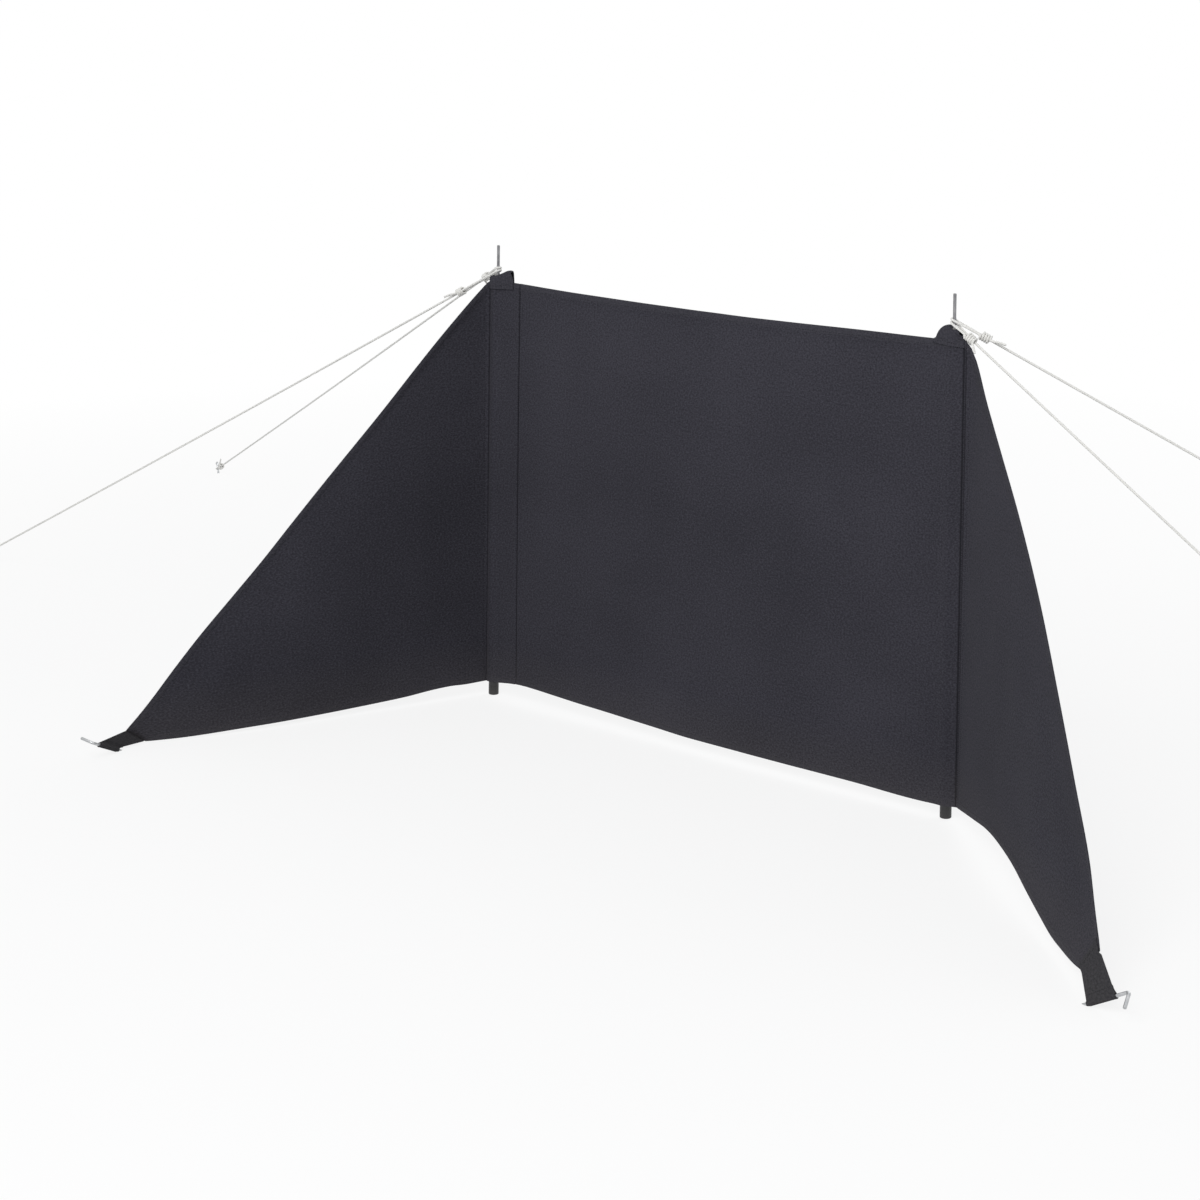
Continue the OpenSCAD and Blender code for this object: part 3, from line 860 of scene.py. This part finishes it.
def tied_end(centre, way, side, up, ring, knot_at, tail, tail_len):
    """From the standing rope through the knot, round the rod, back and four turns to the tail."""
    barrel, turns, knot_len = 7.2, 4, 26
    per_turn, pitch, half_loop = 20, 4.7, 16
    line = [centre + way * (knot_at + knot_len + 8), centre + way * (knot_at + knot_len - 3) + side * 0.6]
    line += [centre + way * (knot_at + 4) + side * 1.2, centre + way * (knot_at - 2) + side * 2.2]
    line += [centre + way * knot_at * 0.5 + side * mix(ring, 2.4, 0.55)]
    for step in range(half_loop + 1):
        a = math.pi * step / half_loop
        line.append(centre + side * ring * math.cos(a) - way * ring * math.sin(a))
    line += [centre + way * knot_at * 0.5 - side * mix(ring, 2.4, 0.55)]
    line += [centre + way * (knot_at - 2) - side * 2.6]
    for step in range(turns * per_turn + 1):
        a = math.pi + 2 * math.pi * step / per_turn
        at = knot_at + 2.4 + pitch * step / per_turn
        line.append(centre + way * at + (side * math.cos(a) + up * math.sin(a)) * barrel)
    end = line[-1]
    for step in range(1, 7):
        line.append(end + tail * tail_len * step / 6 + Vector((0, 0, -4.0 * (step / 6) ** 2)))
    return eased(spaced(line, 1.5), 4)


def cord_tube(name, points, radius, sides=10):
    """A round cord along the points, in mm, closed by a blunt tip at each end."""
    verts, faces, marks = [], [], []
    across = (points[1] - points[0]).orthogonal().normalized()
    run = 0.0
    for k, p in enumerate(points):
        way = (points[min(k + 1, len(points) - 1)] - points[max(k - 1, 0)]).normalized()
        across = (across - way * across.dot(way)).normalized()
        other = way.cross(across)
        if k:
            run += (p - points[k - 1]).length
        for j in range(sides):
            a = 2 * math.pi * j / sides
            verts.append((p + (across * math.cos(a) + other * math.sin(a)) * radius) * 0.001)
        marks.append(run * 0.001)
    for k in range(len(points) - 1):
        for j in range(sides):
            n = (j + 1) % sides
            faces.append((k * sides + j, k * sides + n, (k + 1) * sides + n, (k + 1) * sides + j))
    for ring, flip in ((0, True), (len(points) - 1, False)):
        tip = points[ring] + (points[ring] - points[1 if ring == 0 else -2]).normalized() * radius * 0.5
        verts.append(tip * 0.001)
        for j in range(sides):
            a, b = ring * sides + j, ring * sides + (j + 1) % sides
            faces.append((b, a, len(verts) - 1) if flip else (a, b, len(verts) - 1))
    mesh = bpy.data.meshes.new(name)
    mesh.from_pydata(verts, [], faces)
    layer = mesh.uv_layers.new(name="UVMap")
    body = (len(points) - 1) * sides
    for face in mesh.polygons:
        j = face.index % sides
        k = face.index // sides
        if face.index < body:
            spots = ((k, j), (k, j + 1), (k + 1, j + 1), (k + 1, j))
        else:
            end = 0 if face.index < body + sides else len(points) - 1
            spots = ((end, j), (end, j + 1), (end, j + 0.5))
        for loop, (ring, turn) in zip(face.loop_indices, spots):
            layer.data[loop].uv = (marks[ring], turn / sides)
        face.use_smooth = True
    piece = bpy.data.objects.new(name, mesh)
    scene.collection.objects.link(piece)
    face_outwards(piece)
    return piece


cord_braid = braid("braided_cord")
cord_radius, drawn_radius, shank_radius, rod_ring, seat = 2.0, 2.2, 3.3, 5.3, 0.3
sag, sag_steps = 2.5, 40
for side, label, turn, reach, loop_z, knot_at, tail, tail_len in (
    (-1, "left_back", 25.6, 2646, 931.5, 66, (-0.3, 0.6, -0.7), 24),
    (-1, "left_side", -1.6, 1905, 925.3, 109, (0.95, 0.1, -0.18), 40),
    (1, "right_back", 25.6, 1815, 931.5, 52, (0.95, 0.25, -0.05), 30),
    (1, "right_side", -1.6, 1425, 925.3, 32, (0.5, -0.2, -0.8), 17),
):
    top = Vector((-loop_z * lean, 0, loop_z))
    bottom = top + reach * heading(turn)
    bottom.z = 14
    way = (bottom - top).normalized()
    across = Vector((-math.sin(math.radians(turn)), math.cos(math.radians(turn)), 0))
    above = way.cross(across)
    if above.z < 0:
        above = -above
    slope = math.asin(-way.z)
    ring = (shank_radius + cord_radius + seat) / math.cos(slope)
    upper = tied_end(top, way, across, above, ring, knot_at, Vector(tail).normalized(), tail_len)
    low_tail = (Vector((0.2, 0.3, 1.0)) - way * 0.6).normalized()
    lower = tied_end(bottom, -way, across, above, rod_ring, 34, low_tail, 28)
    line = list(reversed(lower)) + upper
    middle = len(lower)
    a, b = line[middle - 1], line[middle]
    for i in range(1, sag_steps):
        drop = Vector((0, 0, sag * math.sin(math.pi * i / sag_steps)))
        line.insert(middle + i - 1, a.lerp(b, i / sag_steps) - drop)
    guy = cord_tube(label + "_guy", [to_part(side, p) for p in line], drawn_radius)
    dress(guy, cord_braid)
    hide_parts(label + "_rope", label + "_loop", label + "_knot", label + "_hitch")


# ---------------------------------------------------------------- pegs
# Every peg is bent from 6 mm galvanised steel rod, with a hook at its top. It ends at the
# ground here, because the rest of its shaft is driven into the soil.
peg_steel = steel("galvanised_rod", (0.56, 0.57, 0.58, 1), (0.34, 0.35, 0.36, 1), 0.36, (1, 1, 1))
for side in ("left", "right"):
    for use in ("wing", "back", "side"):
        finish_node(side + "_" + use + "_peg", peg_steel)
